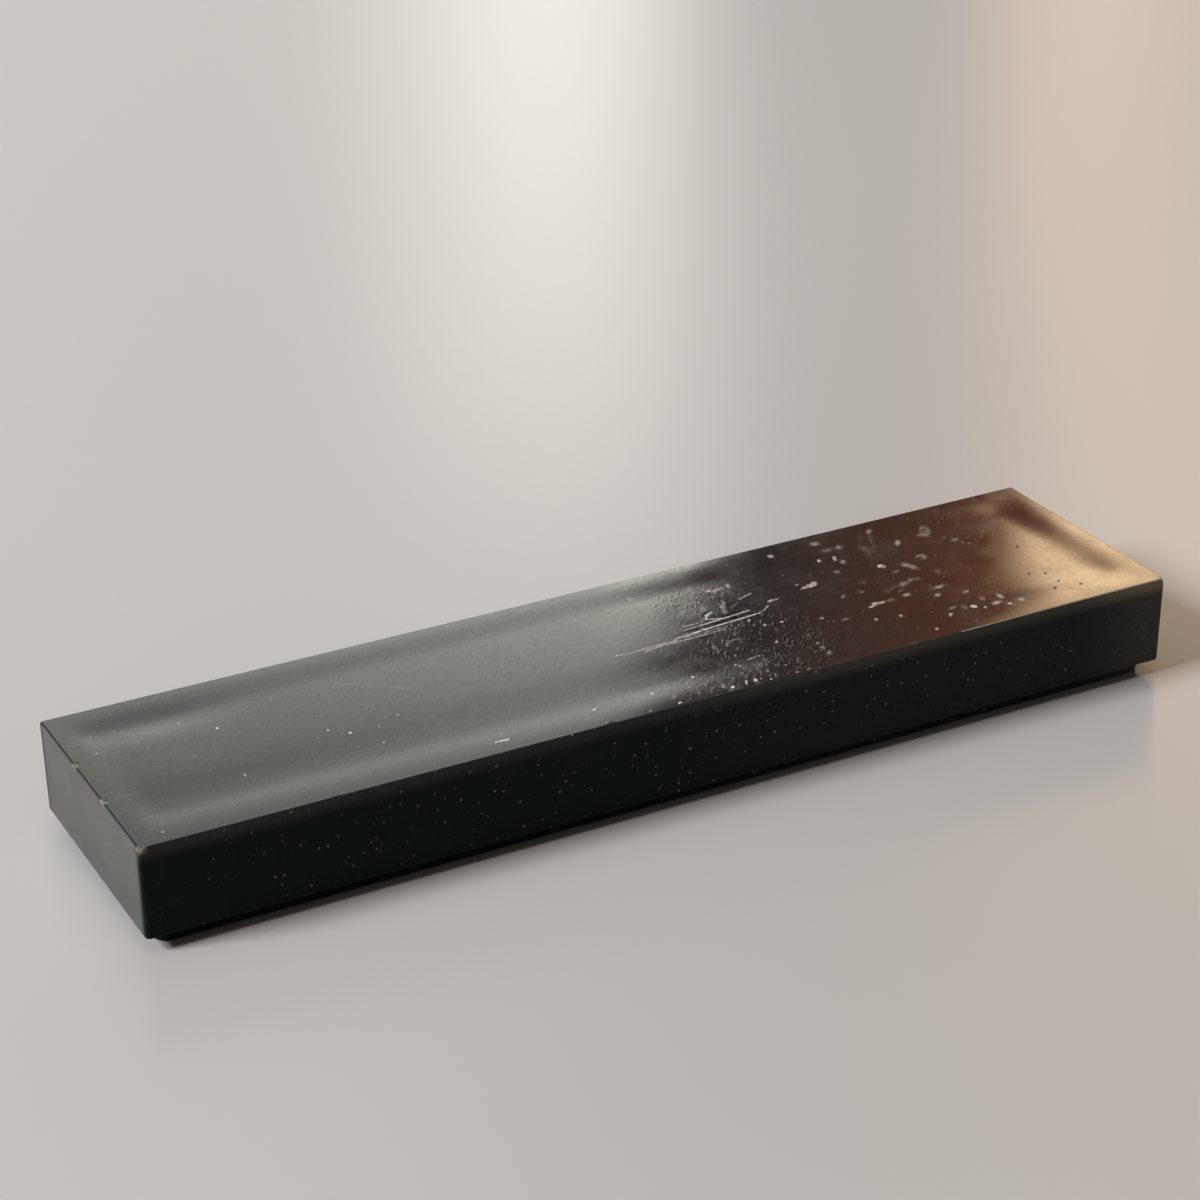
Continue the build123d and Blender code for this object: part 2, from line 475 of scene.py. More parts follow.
def group_stroke():
    """One scratch: a soft line on the face from Start to End, broken up along its way"""
    group, given, result = new_group(
        "Scratch Stroke", Start=(0, 0, 0), End=(1, 0, 0), Width=0.06 * MM, Strength=1.0
    )
    away = vector_calc(group, "SUBTRACT", given["Vector"], given["Start"])
    flat = vector_calc(group, "MULTIPLY", away, (1.0, 1.0, 0.0))
    along = vector_calc(group, "SUBTRACT", given["End"], given["Start"])
    reach = vector_calc(group, "DOT_PRODUCT", flat, along, output="Value")
    whole = vector_calc(group, "DOT_PRODUCT", along, along, output="Value")
    part = calc(group, "DIVIDE", reach, whole, clamp=True)
    nearest = add_node(group, "ShaderNodeVectorMath", {"operation": "SCALE"}, Scale=part)
    feed(group, nearest.inputs[0], along)
    gap = vector_calc(group, "DISTANCE", flat, nearest.outputs["Vector"], output="Value")
    line = ramp(group, calc(group, "DIVIDE", gap, given["Width"]), 0.25, 1.0, 1.0, 0.0)
    rough = add_node(group, "ShaderNodeTexNoise", Vector=given["Vector"], Scale=5000.0, Detail=2.0)
    broken = ramp(group, rough.outputs[0], 0.34, 0.56, 0.22, 1.0)
    feed(group, result["Mask"], times(group, line, broken, given["Strength"]))


def group_specks():
    """Fine dust: round specks of mixed sizes, strewn at random"""
    group, given, result = new_group("Dust Specks", Per_Metre=2000.0, Amount=0.2, Size=0.25)
    cells = add_node(group, "ShaderNodeTexVoronoi", Vector=given["Vector"], Scale=given["Per Metre"])
    lot = add_node(group, "ShaderNodeSeparateColor", Color=cells.outputs["Color"]).outputs
    picked = calc(group, "LESS_THAN", lot[0], given["Amount"])
    radius = calc(group, "MULTIPLY", given["Size"], calc(group, "MULTIPLY_ADD", lot[1], 0.8, 0.35))
    disc = ramp(group, calc(group, "DIVIDE", cells.outputs["Distance"], radius), 0.6, 1.0, 1.0, 0.0)
    tone = calc(group, "MULTIPLY_ADD", calc(group, "POWER", lot[2], 2.0), 0.8, 0.2)
    feed(group, result["Mask"], times(group, disc, picked, tone))


def group_hairlines():
    """Hairlines that wiping left: long thin lines, all at one angle, coming and going"""
    group, given, result = new_group("Hairlines", Turn=(0, 0, 0), Fineness=1.0, Amount=0.3)
    turned = add_node(
        group, "ShaderNodeVectorRotate", {"rotation_type": "EULER_XYZ"},
        Vector=given["Vector"], Rotation=given["Turn"],
    )
    drawn = vector_calc(group, "MULTIPLY", turned.outputs[0], (350.0, 14000.0, 0.0))
    lines = add_node(group, "ShaderNodeTexNoise", Vector=drawn, Scale=given["Fineness"], Detail=2.0)
    patches = add_node(group, "ShaderNodeTexNoise", Vector=given["Vector"], Scale=260.0, Detail=1.0)
    thin = ramp(group, lines.outputs[0], 0.62, 0.72)
    where = ramp(group, patches.outputs[0], 0.45, 0.65)
    feed(group, result["Mask"], times(group, thin, where, given["Amount"]))


def group_grain():
    """Fine grain, even all over, with a coarser one under it"""
    group, given, result = new_group(
        "Surface Grain", ("Fine Value", "Coarse Value"), Fine=9000.0, Coarse=900.0
    )
    for label in ("Fine", "Coarse"):
        texture = add_node(
            group, "ShaderNodeTexNoise", Vector=given["Vector"], Scale=given[label], Detail=3.0, Roughness=0.6
        )
        feed(group, result[f"{label} Value"], texture.outputs[0])


def group_patch():
    """A soft round patch on the face, about Middle and out to Reach"""
    group, given, result = new_group("Soft Patch", Middle=(0, 0, 0), Reach=(1, 1, 1))
    away = vector_calc(group, "SUBTRACT", given["Vector"], given["Middle"])
    flat = vector_calc(group, "MULTIPLY", away, (1.0, 1.0, 0.0))
    shares = vector_calc(group, "DIVIDE", flat, given["Reach"])
    gap = vector_calc(group, "LENGTH", shares, output="Value")
    feed(group, result["Mask"], ramp(group, gap, 0.35, 1.0, 1.0, 0.0))


def group_ends():
    """The ground ends: 1 on the ends and 0 on the long sides and the arris, soft at the upright corners"""
    group, given, result = new_group("Ground Ends", Corner=0.3 * MM, Arris=0.1 * MM)
    axes = add_node(group, "ShaderNodeSeparateXYZ", Vector=given["Vector"]).outputs
    gaps = []
    for axis, half in (("X", HALF_LENGTH), ("Y", HALF_WIDTH)):
        inside = calc(group, "SUBTRACT", half, calc(group, "ABSOLUTE", axes[axis]))
        gaps.append(calc(group, "DIVIDE", inside, given["Corner"]))
    at_end = ramp(group, gaps[0], 0.0, 0.45, 1.0, 0.0)
    off_side = ramp(group, gaps[1], 0.1, 3.0)
    below = calc(group, "DIVIDE", calc(group, "SUBTRACT", TOP, axes["Z"]), given["Arris"])
    off_arris = ramp(group, below, 0.05, 0.45)
    feed(group, result["Mask"], times(group, at_end, off_side, off_arris))


def new_material(name):
    """The node tree of a new material, its shader and its Object coordinates"""
    material = bpy.data.materials.new(name)
    material.use_nodes = True
    tree = material.node_tree
    shader = tree.nodes["Principled BSDF"]
    coordinates = tree.nodes.new("ShaderNodeTexCoord").outputs["Object"]
    return tree, shader, coordinates


def stroke_masks(tree, where):
    """The masks of the bright scratches and of the painted shade in the grooves, each kept as one chain"""
    scratch = groove_shade = 0.0
    for x0, y0, x1, y1, width, strength in STROKES:
        stroke = group_mask(
            tree, "Scratch Stroke", Vector=where, Start=(x0 * MM, y0 * MM, 0.0), End=(x1 * MM, y1 * MM, 0.0),
            Width=width * MM, Strength=abs(strength),
        )
        # A negative strength paints the shade in a groove.
        if strength > 0.0:
            scratch = calc(tree, "MAXIMUM", stroke, scratch)
        else:
            groove_shade = calc(tree, "MAXIMUM", stroke, groove_shade)
    return scratch, groove_shade


def soft_patches(tree, where, spots):
    """The largest of several soft patches: the middle of each, and its reach along and across, in metres"""
    return largest(tree, [
        group_mask(tree, "Soft Patch", Vector=where, Middle=(x, y, 0.0), Reach=(along, across, 1.0))
        for x, y, along, across in spots
    ])


def material_face(finish):
    """Polished metal under a fine haze, with scratches, painted shade in its grooves, a worn patch with
    painted glints and painted shade in its pits, hairlines and fine dust
    """
    tree, shader, where = new_material("polished_face")
    scratch, groove_shade = stroke_masks(tree, where)
    worn = soft_patches(tree, where, [[part * MM for part in spot] for spot in WORN])
    turned = add_node(
        tree, "ShaderNodeVectorRotate", {"rotation_type": "Z_AXIS"}, Vector=where, Angle=-STREAK_TURN
    )
    streaked = vector_calc(tree, "MULTIPLY", turned.outputs[0], (0.45, 1.0, 1.0))
    shaded = vector_calc(tree, "ADD", streaked, (0.00002, 0.00005, 0.0))
    grain = place_group(tree, "Surface Grain", Vector=where, Fine=4600.0, Coarse=420.0)
    ragged, dented = (
        place_group(tree, "Surface Grain", Vector=place, Fine=6500.0, Coarse=1500.0)
        for place in (streaked, shaded)
    )
    worn = times(tree, worn, ramp(tree, ragged["Coarse Value"], 0.36, 0.60, 0.25, 1.0))
    worn = calc(tree, "MAXIMUM", worn, LEAST_WORN)
    # Painted glints: fine specks of the worn patch are painted pale. Painted shade: its pits are painted
    # dark.
    painted_glints = times(tree, ramp(tree, ragged["Fine Value"], 0.53, 0.63), worn, PAINTED_GLINTS_SHOW)
    painted_pit_shade = times(tree, ramp(tree, dented["Fine Value"], 0.52, 0.60), worn, PAINTED_PIT_SHADE_SHOWS)
    crumbs = group_mask(tree, "Dust Specks", Vector=streaked, Per_Metre=3600.0, Amount=0.42, Size=0.24)
    crumbs = times(tree, crumbs, worn, CRUMBS_SHOW)
    dust = group_mask(tree, "Dust Specks", Vector=streaked, Per_Metre=3000.0, Amount=0.25, Size=0.22)
    dust = times(tree, dust, DUST_SHOWS)
    hair = largest(tree, [
        group_mask(tree, "Hairlines", Vector=where, Turn=(0.0, 0.0, turn), Amount=shown)
        for turn, shown in ((-0.09, 0.10), (-0.95, 0.06))
    ])
    smears = add_node(tree, "ShaderNodeAttribute", {"attribute_name": "smears"}).outputs["Fac"]
    smears = times(tree, smears, ramp(tree, ragged["Coarse Value"], 0.36, 0.62, 0.15, 0.62))
    marks = largest(tree, [scratch, painted_glints, crumbs, dust, hair, smears])
    marks = times(tree, marks, calc(tree, "SUBTRACT", 1.0, groove_shade))

    cloudy = ramp(tree, grain["Coarse Value"], 0.35, 0.65)
    tint = blend(tree, cloudy, opaque(finish.metal), toned(finish.metal, 0.94))
    # Painted shade: the grooves and the pits are painted in a darkened metal.
    painted_shade = largest(tree, [groove_shade, painted_pit_shade])
    tint = blend(tree, painted_shade, tint, toned(finish.metal, 0.10))
    marked = blend(tree, smears, opaque(finish.dust), opaque(finish.flake))
    feed(tree, shader.inputs["Base Color"], blend(tree, marks, tint, marked))
    plain = 1.0 - finish.haze
    feed(tree, shader.inputs["Metallic"], calc(tree, "MULTIPLY_ADD", marks, -0.9 * plain, plain))
    polish = ramp(tree, grain["Coarse Value"], 0.35, 0.70, finish.polish, finish.polish * 1.8)
    rough = calc(tree, "MULTIPLY_ADD", marks, finish.abraded, polish, clamp=True)
    feed(tree, shader.inputs["Roughness"], rough)
    relief = times(tree, ragged["Fine Value"], calc(tree, "MULTIPLY_ADD", worn, 0.65, 0.15))
    bump = add_node(tree, "ShaderNodeBump", Strength=1.0, Distance=0.0016 * MM, Height=relief)
    feed(tree, shader.inputs["Normal"], bump.outputs[0])


def material_side(finish, shape):
    """Black satin metal of the long sides and the foot, lighter along its upper edge and towards the right
    end, with a painted warm reflection on that edge at the right end, and the ground metal of the ends,
    painted darker towards the bottom as shade, and pale at the nicks of the left end as worn metal and
    painted highlight"""
    tree, shader, where = new_material("black_side")
    shader.inputs["Specular IOR Level"].default_value = 0.06
    ends = group_mask(tree, "Ground Ends", Vector=where, Corner=shape.low_corner, Arris=shape.arris)
    grain = place_group(tree, "Surface Grain", Vector=where, Fine=7000.0, Coarse=350.0)
    specks = []
    for each, part, size, shown in SIDE_SPECKS:
        mask = group_mask(tree, "Dust Specks", Vector=where, Per_Metre=each, Amount=part, Size=size)
        specks.append(times(tree, mask, shown))
    axes = add_node(tree, "ShaderNodeSeparateXYZ", Vector=where).outputs
    thinned = ramp(tree, calc(tree, "ABSOLUTE", axes["X"]), 0.68 * HALF_LENGTH, HALF_LENGTH, 1.0, 0.25)
    dust = times(tree, largest(tree, specks), thinned)

    # The black is made lighter along the upper edge of the sides and towards the right end.
    edge = ramp(tree, axes["Z"], TOP - 0.8 * MM, TOP - 0.12 * MM, 0.0, 0.50)
    edge = times(tree, edge, ramp(tree, axes["Z"], TOP - 0.10 * MM, TOP - 0.02 * MM, 1.0, 0.15))
    lighter_from_middle = ramp(tree, axes["X"], -0.15 * HALF_LENGTH, 0.35 * HALF_LENGTH, 0.0, 0.12)
    lighter_to_right = ramp(tree, axes["X"], 0.78 * HALF_LENGTH, HALF_LENGTH, 0.0, 0.62)
    lighter_to_right = calc(tree, "ADD", lighter_from_middle, lighter_to_right)
    smudge = ramp(tree, grain["Coarse Value"], 0.50, 0.75, 0.0, 0.06)
    uneven = ramp(tree, grain["Fine Value"], 0.30, 0.70, 0.75, 1.0)
    lighter_black = calc(tree, "ADD", calc(tree, "ADD", edge, lighter_to_right), smudge, clamp=True)
    lighter_black = times(tree, lighter_black, uneven)
    black = blend(tree, lighter_black, opaque(finish.black), opaque(finish.lighter_black))
    # Painted reflection: the upper edge of the sides at the right end is painted warm.
    black = blend(tree, times(tree, edge, lighter_to_right), black, opaque(finish.painted_warm_reflection))

    streaks = group_mask(tree, "Hairlines", Vector=where, Turn=END_STREAKS_TURN, Fineness=0.30, Amount=0.22)
    # Painted shade: the ground ends are painted darker towards the bottom.
    painted_end_shade = ramp(tree, axes["Z"], 0.05 * TOP, 0.80 * TOP)
    ground = blend(tree, painted_end_shade, toned(finish.ground_metal, 0.60), opaque(finish.ground_metal))
    ground = blend(tree, streaks, ground, opaque(finish.dust))
    # The nicks on the left end are painted pale: the corner nick as worn metal, the two on the end as painted
    # highlight.
    nick_wear_and_highlight = soft_patches(tree, where, [
        (x * HALF_LENGTH, y * HALF_WIDTH, radius * 1.3 * MM, radius * 1.3 * MM)
        for x, y, radius, _ in NICKS if radius > 0.2 and x < 0.0
    ])
    nick_wear_and_highlight = times(tree, nick_wear_and_highlight, ramp(tree, axes["Z"], TOP - 0.30 * MM, TOP - 0.12 * MM, 0.0, 0.20))

    base = blend(tree, nick_wear_and_highlight, blend(tree, ends, black, ground), opaque(finish.dust))
    feed(tree, shader.inputs["Base Color"], blend(tree, dust, base, opaque(finish.dust)))
    clean = calc(tree, "SUBTRACT", 1.0, dust)
    feed(tree, shader.inputs["Metallic"], times(tree, ends, clean))
    satin = ramp(tree, grain["Coarse Value"], 0.35, 0.70, finish.satin, finish.satin * 1.15)
    rough = calc(tree, "MULTIPLY_ADD", ends, finish.ground - finish.satin, satin)
    rough = calc(tree, "MULTIPLY_ADD", dust, finish.abraded, rough, clamp=True)
    feed(tree, shader.inputs["Roughness"], rough)
    bump = add_node(tree, "ShaderNodeBump", Strength=0.35, Distance=0.004 * MM, Height=grain["Fine Value"])
    feed(tree, shader.inputs["Normal"], bump.outputs[0])


def material_flakes(finish):
    """Abraded metal and dust of the raised flakes, each as bright as its own attribute says, greyer at the
    left and warmer towards the right as painted warm light
    """
    tree, shader, where = new_material("flakes")
    bright = add_node(tree, "ShaderNodeAttribute", {"attribute_name": "brightness"}).outputs["Fac"]
    grain = place_group(tree, "Surface Grain", Vector=where, Fine=16000.0, Coarse=5000.0)
    mottled = calc(tree, "POWER", bright, 1.5)
    mottled = times(tree, mottled, ramp(tree, grain["Coarse Value"], 0.3, 0.7, 0.55, 1.15))
    # Painted warm light: the flakes turn from grey to warm from the middle towards the right end.
    along = add_node(tree, "ShaderNodeSeparateXYZ", Vector=where).outputs["X"]
    tint = blend(tree, ramp(tree, along, 0.0, 6.0 * MM), toned(finish.dust, 1.2), opaque(finish.flake))
    feed(tree, shader.inputs["Base Color"], blend(tree, mottled, toned(finish.flake, 0.06), tint))
    feed(tree, shader.inputs["Roughness"], ramp(tree, grain["Fine Value"], 0.3, 0.7, 0.45, 0.7))
    bump = add_node(tree, "ShaderNodeBump", Strength=0.4, Distance=0.01 * MM, Height=grain["Fine Value"])
    feed(tree, shader.inputs["Normal"], bump.outputs[0])


def smooth(value):
    """A smooth step from 0 to 1"""
    value = min(max(value, 0.0), 1.0)
    return value * value * (3.0 - 2.0 * value)


def eased(value):
    """A smoother step from 0 to 1, with no kink at its ends"""
    value = min(max(value, 0.0), 1.0)
    return value**3 * (value * (6.0 * value - 15.0) + 10.0)


def bell(gap, width):
    """A round bell, 1 at no gap and falling off over its width"""
    return math.exp(-((gap / width) ** 2))


def face_height(x, y, shape):
    """Height of the polished face: a flat rim, soft slopes, and a floor that is deeper along the
    front side, at the right end and in the back left corner, with slow waves"""
    inside = (
        eased((HALF_WIDTH - abs(y) - shape.rim) / shape.side_slope)
        * eased((HALF_LENGTH + x - shape.rim) / shape.left_slope)
        * eased((HALF_LENGTH - x - shape.rim) / shape.right_slope)
    )
    depth = shape.dish_depth + shape.end_depth * eased((x - HALF_LENGTH) / shape.end_reach + 1.0)
    from_left = x + 0.85 * HALF_LENGTH
    trough = shape.trough * (1.0 + shape.trough_end * bell(from_left, 9.0 * MM))
    depth *= 1.0 + trough * bell(y + HALF_WIDTH / 2, shape.trough_width)
    wave = noise.noise(Vector((x, y, 0.0)) / shape.wave_length)
    hollow = bell(from_left, 3.5 * MM) * bell(y - 0.62 * HALF_WIDTH, 1.25 * MM)
    return TOP - inside * (depth + shape.waviness * wave + shape.hollow * hollow)


def carried(point, old, new):
    """Where a point of one rounded outline comes to lie on another"""
    side_x, side_y = math.copysign(1.0, point.x), math.copysign(1.0, point.y)
    reach = Vector((abs(point.x) - old.half_x + old.radius, abs(point.y) - old.half_y + old.radius))
    core_x, core_y = new.half_x - new.radius, new.half_y - new.radius
    if reach.x > 0.0 and reach.y > 0.0:
        turn = reach.normalized()
        return side_x * (core_x + new.radius * turn.x), side_y * (core_y + new.radius * turn.y)
    if reach.x > reach.y:
        return side_x * new.half_x, point.y * core_y / (old.half_y - old.radius)
    return point.x * core_x / (old.half_x - old.radius), side_y * new.half_y


def spaced(place, half, corner, cells, count):
    """Moves a line of an even grid, so that the first and last few lines share a corner"""
    line = (place + 1.0) / 2.0 * count
    from_end = min(line, count - line)
    if from_end <= cells:
        inside = corner * from_end / cells
    else:
        inside = corner + (half - corner) * (from_end - cells) / (count / 2.0 - cells)
    return math.copysign(half - inside, place)


def is_smear(fleck):
    """Whether a fleck is drawn on the metal rather than raised from it"""
    return fleck.bright < SMEAR_BRIGHTNESS and max(fleck.long, fleck.wide) >= SMEAR_LENGTH


def smeared(x, y):
    """How strongly the smears cover a point of the face"""
    strongest = 0.0
    for smear_x, smear_y, long, wide, turn, strength in filter(is_smear, FLECKS):
        away_x, away_y = x / MM - smear_x, y / MM - smear_y
        if max(abs(away_x), abs(away_y)) > max(long, wide):
            continue
        cos, sin = math.cos(math.radians(turn)), math.sin(math.radians(turn))
        gap = math.hypot((away_x * cos + away_y * sin) / long, (away_y * cos - away_x * sin) / wide)
        strongest = max(strongest, strength * smooth(1.25 - 1.6 * gap))
    return strongest


def add_face(bm, shape, outline):
    """The polished face: an even grid, drawn together at its corners, rounded and dished"""
    cells = shape.corner_cells
    counts = [
        2 * (cells + round((half - outline.radius) / shape.pitch))
        for half in (outline.half_x, outline.half_y)
    ]
    bmesh.ops.create_grid(bm, x_segments=counts[0], y_segments=counts[1], size=1.0)
    smear_layer = bm.verts.layers.float.new("smears")
    for vert in bm.verts:
        x = spaced(vert.co.x, outline.half_x, outline.radius, cells, counts[0])
        y = spaced(vert.co.y, outline.half_y, outline.radius, cells, counts[1])
        reach = Vector((abs(x) - outline.half_x + outline.radius, abs(y) - outline.half_y + outline.radius))
        if min(reach) > 0.0:
            squeeze = max(reach) / reach.length
            x -= math.copysign(reach.x * (1.0 - squeeze), x)
            y -= math.copysign(reach.y * (1.0 - squeeze), y)
        vert.co = (x, y, face_height(x, y, shape))
        vert[smear_layer] = smeared(x, y)


def side_rings(shape):
    """The outlines and heights down the side, from below the arris to the foot's underside"""
    lower = shape.foot_height
    wall_top, wall_end = TOP - shape.arris, lower + shape.low_edge

    def body(inset, z):
        along = (TOP - z) / (TOP - lower)
        radius = shape.top_corner + (shape.low_corner - shape.top_corner) * along
        return Outline(HALF_LENGTH - inset, HALF_WIDTH - inset, radius - inset), z

    def foot(inset, z):
        inset += shape.foot_step
        return Outline(HALF_LENGTH - inset, HALF_WIDTH - inset, shape.foot_corner), z

    rings = []
    for step in range(1, ARRIS_STEPS + 1):
        turn = math.radians(90.0) * step / ARRIS_STEPS
        rings.append(body(shape.arris * (1 - math.sin(turn)), TOP - shape.arris * (1 - math.cos(turn))))
    for step in range(1, WALL_STEPS + 1):
        rings.append(body(0.0, wall_top + (wall_end - wall_top) * (step / WALL_STEPS) ** 2))
    for step in range(1, EDGE_STEPS + 1):
        turn = math.radians(90.0) * step / EDGE_STEPS
        rings.append(body(shape.low_edge * (1 - math.cos(turn)), wall_end - shape.low_edge * math.sin(turn)))
    rings.append(foot(0.0, lower))
    rings.append(foot(0.0, lower - shape.foot_break))
    rings.append(foot(0.0, shape.foot_break))
    rings.append(foot(shape.foot_break, 0.0))
    return rings


def add_side(bm, shape, outline):
    """Draws the face's border down ring by ring, and closes it under the foot"""
    border = [edge for edge in bm.edges if edge.is_boundary]
    for ring, z in side_rings(shape):
        made = bmesh.ops.extrude_edge_only(bm, edges=border)["geom"]
        fresh = {vert for vert in made if isinstance(vert, bmesh.types.BMVert)}
        for vert in fresh:
            vert.co = (*carried(vert.co, outline, ring), z)
        border = [edge for edge in made if isinstance(edge, bmesh.types.BMEdge) and set(edge.verts) <= fresh]
        outline = ring
    bmesh.ops.edgeloop_fill(bm, edges=border)


def press_nicks(bm):
    """Dents in the edges of the face, each uneven and pressed in towards the middle of the body"""
    for share_x, share_y, radius, depth in NICKS:
        centre = Vector((share_x * HALF_LENGTH, share_y * HALF_WIDTH, TOP))
        inward = Vector((*(-part if abs(part) == 1.0 else 0.0 for part in (share_x, share_y)), -1.2))
        inward.normalize()
        for vert in bm.verts:
            gap = (vert.co - centre).length / (radius * MM)
            if gap < 1.0:
                uneven = 0.75 + 0.5 * noise.noise(vert.co * 6000.0)
                vert.co += inward * depth * MM * smooth(1.0 - gap) * uneven


def finish_piece(bm, name, materials):
    """Makes an object of the mesh, closed, smooth, riding on the body and with its materials"""
    bmesh.ops.recalc_face_normals(bm, faces=bm.faces)
    for face in bm.faces:
        face.smooth = True
    mesh = bpy.data.meshes.new(name)
    bm.to_mesh(mesh)
    bm.free()
    for material in materials:
        mesh.materials.append(material)
    piece = bpy.data.objects.new(name, mesh)
    bpy.context.scene.collection.objects.link(piece)
    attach(piece, BODY)
    return piece


class METAL_TILE_OT_finishes(bpy.types.Operator):
    """Makes the shared effects and the materials"""

    bl_idname = "metal_tile.finishes"
    bl_label = "Tile Finishes"

    def execute(self, context):
        group_stroke()
        group_specks()
        group_hairlines()
        group_grain()
        group_patch()
        group_ends()
        finish = context.scene.tile_finish
        material_face(finish)
        material_side(finish, context.scene.tile_shape)
        material_flakes(finish)
        return {"FINISHED"}


class METAL_TILE_OT_body(bpy.types.Operator):
    """Makes the tile's body in one piece, with its dished face and stepped foot"""

    bl_idname = "metal_tile.body"
    bl_label = "Tile Body"

    def execute(self, context):
        shape = context.scene.tile_shape
        outline = Outline(
            HALF_LENGTH - shape.arris, HALF_WIDTH - shape.arris, shape.top_corner - shape.arris
        )
        bm = bmesh.new()
        add_face(bm, shape, outline)
        add_side(bm, shape, outline)
        press_nicks(bm)
        bm.normal_update()
        polished, black = 0, 1
        for face in bm.faces:
            middle = face.calc_center_median()
            tilt = BACK_ARRIS_TILT if face.normal.y > 0.2 else POLISHED_TILT
            if middle.x > BRIGHT_ARRIS_START * HALF_LENGTH:
                tilt = min(tilt, BRIGHT_ARRIS_TILT)
            on_top = face.normal.z > tilt and middle.z > shape.foot_height
            face.material_index = polished if on_top else black
        materials = [bpy.data.materials["polished_face"], bpy.data.materials["black_side"]]
        piece = finish_piece(bm, "tile_metal", materials)
        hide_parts(NODE)
        return {"FINISHED"}


class METAL_TILE_OT_flakes(bpy.types.Operator):
    """Makes the raised flakes and the loose dust of the polished face, joined in one mesh"""

    bl_idname = "metal_tile.flakes"
    bl_label = "Tile Flakes"

    def execute(self, context):
        shape, dust = context.scene.tile_shape, context.scene.tile_dust
        chance = random.Random(dust.seed)
        flakes = [
            (x * MM, y * MM, long * MM, wide * MM, turn, bright, FLAKE_DETAIL)
            for x, y, long, wide, turn, bright in itertools.filterfalse(is_smear, FLECKS)
        ]
        inner_x, inner_y = (half - dust.border for half in (HALF_LENGTH, HALF_WIDTH))
        for _ in range(dust.specks):
            x, y = chance.uniform(-inner_x, inner_x), chance.uniform(-inner_y, inner_y)
            wide = dust.smallest + (dust.largest - dust.smallest) * chance.random() ** 3
            narrow = wide * chance.uniform(0.6, 1.0)
            turn, bright = chance.uniform(0, 180), chance.uniform(0.3, 0.9)
            flakes.append((x, y, wide, narrow, turn, bright, SPECK_DETAIL))
        bm = bmesh.new()
        bright_layer = bm.verts.layers.float.new("brightness")
        for x, y, long, wide, turn, bright, detail in flakes:
            tall = wide * FLAKE_RISE
            place = Matrix.LocRotScale(
                Vector((x, y, face_height(x, y, shape))),
                Matrix.Rotation(math.radians(turn), 3, "Z"),
                Vector((long / 2, wide / 2, tall)),
            )
            made = bmesh.ops.create_icosphere(bm, subdivisions=detail, radius=1.0, matrix=place)["verts"]
            for vert in made:
                offset = vert.co - place.translation
                lumps, grit = (noise.noise(vert.co * (count / wide)) for count in (1.1, 3.0))
                uneven = 0.85 + 0.8 * lumps + 0.4 * grit
                vert[bright_layer] = bright * (0.30 + 0.70 * smooth(offset.z / tall * 1.6)) * uneven
                vert.co = place.translation + offset * min(uneven, 1.0)
                vert.co.z = min(vert.co.z, TOP - offset.z * 0.001)
        finish_piece(bm, "dust_flakes", [bpy.data.materials["flakes"]])
        return {"FINISHED"}


def stage_object(name, mesh, material):
    """A stage object with one material"""
    mesh.materials.append(material)
    made = bpy.data.objects.new(name, mesh)
    bpy.context.scene.collection.objects.link(made)
    return made


def plane_mesh(name, matrix):
    """A square plane, two units wide before the matrix"""
    bm = bmesh.new()
    bmesh.ops.create_grid(bm, x_segments=1, y_segments=1, size=1.0, matrix=matrix)
    mesh = bpy.data.meshes.new(name)
    bm.to_mesh(mesh)
    bm.free()
    return mesh


def add_floor(stage):
    """The pale floor, with a satin gloss"""
    material = bpy.data.materials.new("floor")
    material.use_nodes = True
    shader = material.node_tree.nodes["Principled BSDF"]
    shader.inputs["Base Color"].default_value = opaque(stage.floor)
    shader.inputs["Roughness"].default_value = stage.floor_gloss
    shader.inputs["Specular IOR Level"].default_value = stage.floor_shine
    size = stage.floor_size / 2
    stage_object("floor", plane_mesh("floor", Matrix.Diagonal((size, size, 1.0, 1.0))), material)


# The reflection card's gradient from low to high: degrees over the floor, then red, green and blue.
CARD_GRADIENT = (
    (12.0, (1.16, 1.14, 1.07)),
    (19.0, (0.88, 0.87, 0.82)),
    (22.5, (0.80, 0.79, 0.75)),
    (24.8, (1.18, 1.20, 1.17)),
    (25.8, (1.08, 1.10, 1.07)),
    (27.2, (0.66, 0.68, 0.66)),
    (28.2, (0.47, 0.48, 0.46)),
    (29.5, (0.38, 0.39, 0.38)),
    (31.0, (0.28, 0.30, 0.29)),
    (41.0, (0.40, 0.40, 0.38)),
)

